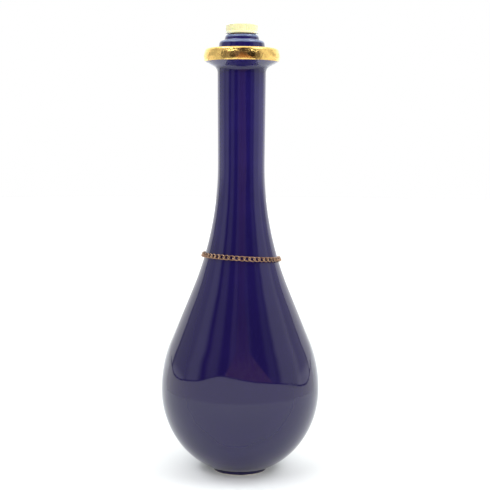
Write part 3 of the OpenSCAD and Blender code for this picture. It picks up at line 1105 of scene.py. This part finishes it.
def lit_card(name, low, high, top):
    """Only shows its own light: one colour to the other in soft folds, fading up to the top."""
    material, s, shader, position = finish(name)
    folds = s.noise(s.vector("MULTIPLY", position, (1.0, 1.0, 0.4)), 18 * MM, 5.0, 0.6)
    fading = s.fade(s.split(position)[2], top / 3, top, 0.0, 0.65)
    light = s.mix(s.fade(folds, 0.35, 0.65), low, high)
    shader["Emission Color"] = s.mix(fading, light, DIM_ROOM)
    shader["Emission Strength"] = 1.0
    shader["Base Color"] = (0.01, 0.01, 0.01)
    shader["Specular IOR Level"] = 0.0
    return material


def reflected_card(name, rows, material):
    """A strip built from rows of places, seen in reflections but not by the camera."""
    width = len(rows[0])
    places = [place for row in rows for place in row]
    faces = [
        (row * width + i, row * width + i + 1, (row + 1) * width + i + 1, (row + 1) * width + i)
        for row in range(len(rows) - 1)
        for i in range(width - 1)
    ]
    card = new_object(name, places, faces=faces)
    card.data.materials.append(material)
    card.visible_camera = False
    card.visible_shadow = False
    card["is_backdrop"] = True


def white_sheet(stage):
    """The pale sheet that the bottle stands on, and its front edge, turned up towards the room."""
    ends = np.array(SHEET_LIP, float)
    headings = np.linspace(ends[0, 0], ends[-1, 0], FRONT_PLACES)
    heights = np.interp(headings, ends[:, 0], ends[:, 1]) * MM
    soft = np.convolve(np.pad(heights, SOFTENED // 2, "edge"), np.ones(SOFTENED) / SOFTENED, "valid")
    away = stage.lip_away
    front = [turned(away, a, 0.0) for a in headings]
    behind = np.linspace(headings[-1], 360 + headings[0], BACK_PLACES)
    rim = [*front, *(turned(stage.table_reach, a, 0.0) for a in behind)]
    fan = [(0, i + 1, (i + 1) % len(rim) + 1) for i in range(len(rim))]
    table = new_object("white_table", [(0.0, 0.0, 0.0), *rim], faces=fan)
    table.data.materials.append(white_cloth(stage))
    table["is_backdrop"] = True

    top = [turned(away, a, z) for a, z in zip(headings, soft)]
    shadow_strip = [turned(away, a, z + stage.lip_shadow) for a, z in zip(headings, soft)]
    lit = [stage.surround * 0.95] * 3
    reflected_card("sheet_front", [front, top], lit_card("sheet_front", lit, lit, 1.0))
    # A dark strip along the top of the turned-up front: painted shadow, the shade along the sheet's
    # edge.
    reflected_card("sheet_hem", [top, shadow_strip], lit_card("sheet_hem", SHADE, SHADE, 1.0))

    just_behind = away * 1.02
    rows = [
        [turned(just_behind, left + (right - left) * i / 8, height * MM) for i in range(9)]
        for height, left, right in HANGING
    ]
    red = lit_card("red_hanging", (0.38, 0.14, 0.09), (0.55, 0.33, 0.25), HANGING[-2][0] * MM)
    reflected_card("red_hanging", rows, red)


def area_light(name, place, target, size, power):
    """A soft round lamp that is not itself seen, nor mirrored in the glaze."""
    lamp = bpy.data.lights.new(name, "AREA")
    lamp.shape = "DISK"
    lamp.size = size
    lamp.energy = power
    made = bpy.data.objects.new(name, lamp)
    made.location = place
    made.rotation_euler = (Vector(target) - Vector(place)).to_track_quat("-Z", "Y").to_euler()
    made.visible_glossy = False
    made.visible_camera = False
    bpy.context.scene.collection.objects.link(made)


def front_camera(stage):
    camera = bpy.data.cameras.new("front_camera")
    camera.sensor_fit = "HORIZONTAL"
    camera.angle = stage.view_angle
    made = bpy.data.objects.new("front_camera", camera)
    made.location = (0.0, -stage.eye_away, stage.eye_height)
    upright = math.radians(90) - stage.eye_tilt
    look = Euler((upright, 0.0, -stage.eye_turn)).to_matrix()
    roll = Euler((0.0, 0.0, stage.eye_roll)).to_matrix()
    made.rotation_euler = (look @ roll).to_euler()
    bpy.context.scene.collection.objects.link(made)
    bpy.context.scene.camera = made


# ------------ operators


class Maker:
    """What the operators share: each makes its pieces from the sizes that the scene holds."""

    def execute(self, context):
        self.make(context.scene)
        return {"FINISHED"}


class DECANTER_OT_body(Maker, Operator):
    """Turns the glazed body on the lathe"""

    bl_idname = "decanter.body"
    bl_label = "Glazed body"

    def make(self, scene):
        body = scene.decanter_body
        glaze = cobalt_glaze(scene.decanter_finishes, body)
        piece = outline_object("glazed_body", body_outline(body))
        values = {"Segments": body.segments, "Finish": glaze}
        make_piece(piece, lathe(), "bottle", ["vessel"], values)


class DECANTER_OT_gilding(Maker, Operator):
    """Lays the gilding round the collar's edge"""

    bl_idname = "decanter.gilding"
    bl_label = "Gilded collar"

    def make(self, scene):
        body = scene.decanter_body
        gold = burnished_gold(scene.decanter_finishes, body)
        section = collar_curve(body, 0.0) + collar_curve(body, body.gilt)[::-1]
        piece = outline_object("gilded_collar", section, closed=True)
        values = {"Segments": body.segments, "Finish": gold}
        make_piece(piece, lathe(), "bottle", ["gilt_band"], values)


class DECANTER_OT_stopper(Maker, Operator):
    """Moulds the ribbed head and cuts the cork"""

    bl_idname = "decanter.stopper"
    bl_label = "Ribbed head and cork"

    def make(self, scene):
        stopper = scene.decanter_stopper
        finishes = scene.decanter_finishes
        head = outline_object("ribbed_head", head_outline(stopper))
        ribs = {
            "Facets_Per_Rib": RIB_FACETS,
            "Ribs": stopper.ribs,
            "Rib_Depth": stopper.rib_depth,
            "Low": stopper.head_low + stopper.ring_h,
            "High": stopper.head_top - stopper.crown_round,
            "Inner_Radius": stopper.head_w / 2 - 2 * MM,
            "Finish": ivory_plastic(finishes, stopper),
        }
        make_piece(head, ribbed_lathe(), "stopper", ["stopper_head"], ribs)
        shank = outline_object("cork", cork_outline(stopper))
        values = {"Segments": CORK_FACETS, "Finish": cork_bark(finishes)}
        make_piece(shank, lathe(), "stopper", ["cork_shank"], values)


class DECANTER_OT_chain(Maker, Operator):
    """Strings the curb links round the neck, and the sawn link that closes them"""

    bl_idname = "decanter.chain"
    bl_label = "Neck chain"

    def make(self, scene):
        chain = scene.decanter_chain
        brass = aged_brass(scene.decanter_finishes)
        sizes = {label: getattr(chain, word) for label, word in LINK_SIZES.items()}
        whole = {**sizes, "Saw_Cut": 0.0}
        for name, nodes, links in (
            ("closing_link", LINKS[:1], sizes),
            ("chain_links", LINKS[1:], whole),
        ):
            piece = link_places(name, nodes)
            values = {**links, "Finish": brass}
            make_piece(piece, link_chain(), "neck_chain", nodes, values)


class DECANTER_OT_stage(Maker, Operator):
    """Sets the table, the lights and the camera"""

    bl_idname = "decanter.stage"
    bl_label = "Table, lights and camera"

    def make(self, scene):
        stage = scene.decanter_stage
        scene.view_settings.view_transform = "Standard"
        surround_light(stage)
        white_sheet(stage)
        place, target = (0.3, -1.6, 0.7), (0.0, 0.0, 0.2)
        area_light("fill_light", place, target, size=1.2, power=stage.fill_light)
        front_camera(stage)


OPERATORS = (
    DECANTER_OT_body,
    DECANTER_OT_gilding,
    DECANTER_OT_stopper,
    DECANTER_OT_chain,
    DECANTER_OT_stage,
)


class DECANTER_PT_pieces(Panel):
    """Lists the decanter's pieces and their sizes"""

    bl_idname = "DECANTER_PT_pieces"
    bl_label = "Decanter"
    bl_space_type = "VIEW_3D"
    bl_region_type = "UI"
    bl_category = "Decanter"

    def draw(self, context):
        column = self.layout.column()
        for operator in OPERATORS:
            column.operator(operator.bl_idname)
        for word in GROUPS:
            box = self.layout.box()
            group = getattr(context.scene, word)
            for name in group.__annotations__:
                box.prop(group, name)


CLASSES = (*GROUPS.values(), *OPERATORS, DECANTER_PT_pieces)


def register():
    for each in CLASSES:
        bpy.utils.register_class(each)
    for word, group in GROUPS.items():
        setattr(bpy.types.Scene, word, PointerProperty(type=group))


def unregister():
    for word in GROUPS:
        delattr(bpy.types.Scene, word)
    for each in reversed(CLASSES):
        bpy.utils.unregister_class(each)


def main():
    register()
    bpy.ops.decanter.body()
    bpy.ops.decanter.gilding()
    bpy.ops.decanter.stopper()
    bpy.ops.decanter.chain()
    bpy.ops.decanter.stage()
    boxes = {"cad": CAD_BOX, "visual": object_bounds()}
    plain = {name: [list(corner) for corner in corners] for name, corners in boxes.items()}


if __name__ == "__main__":
    main()
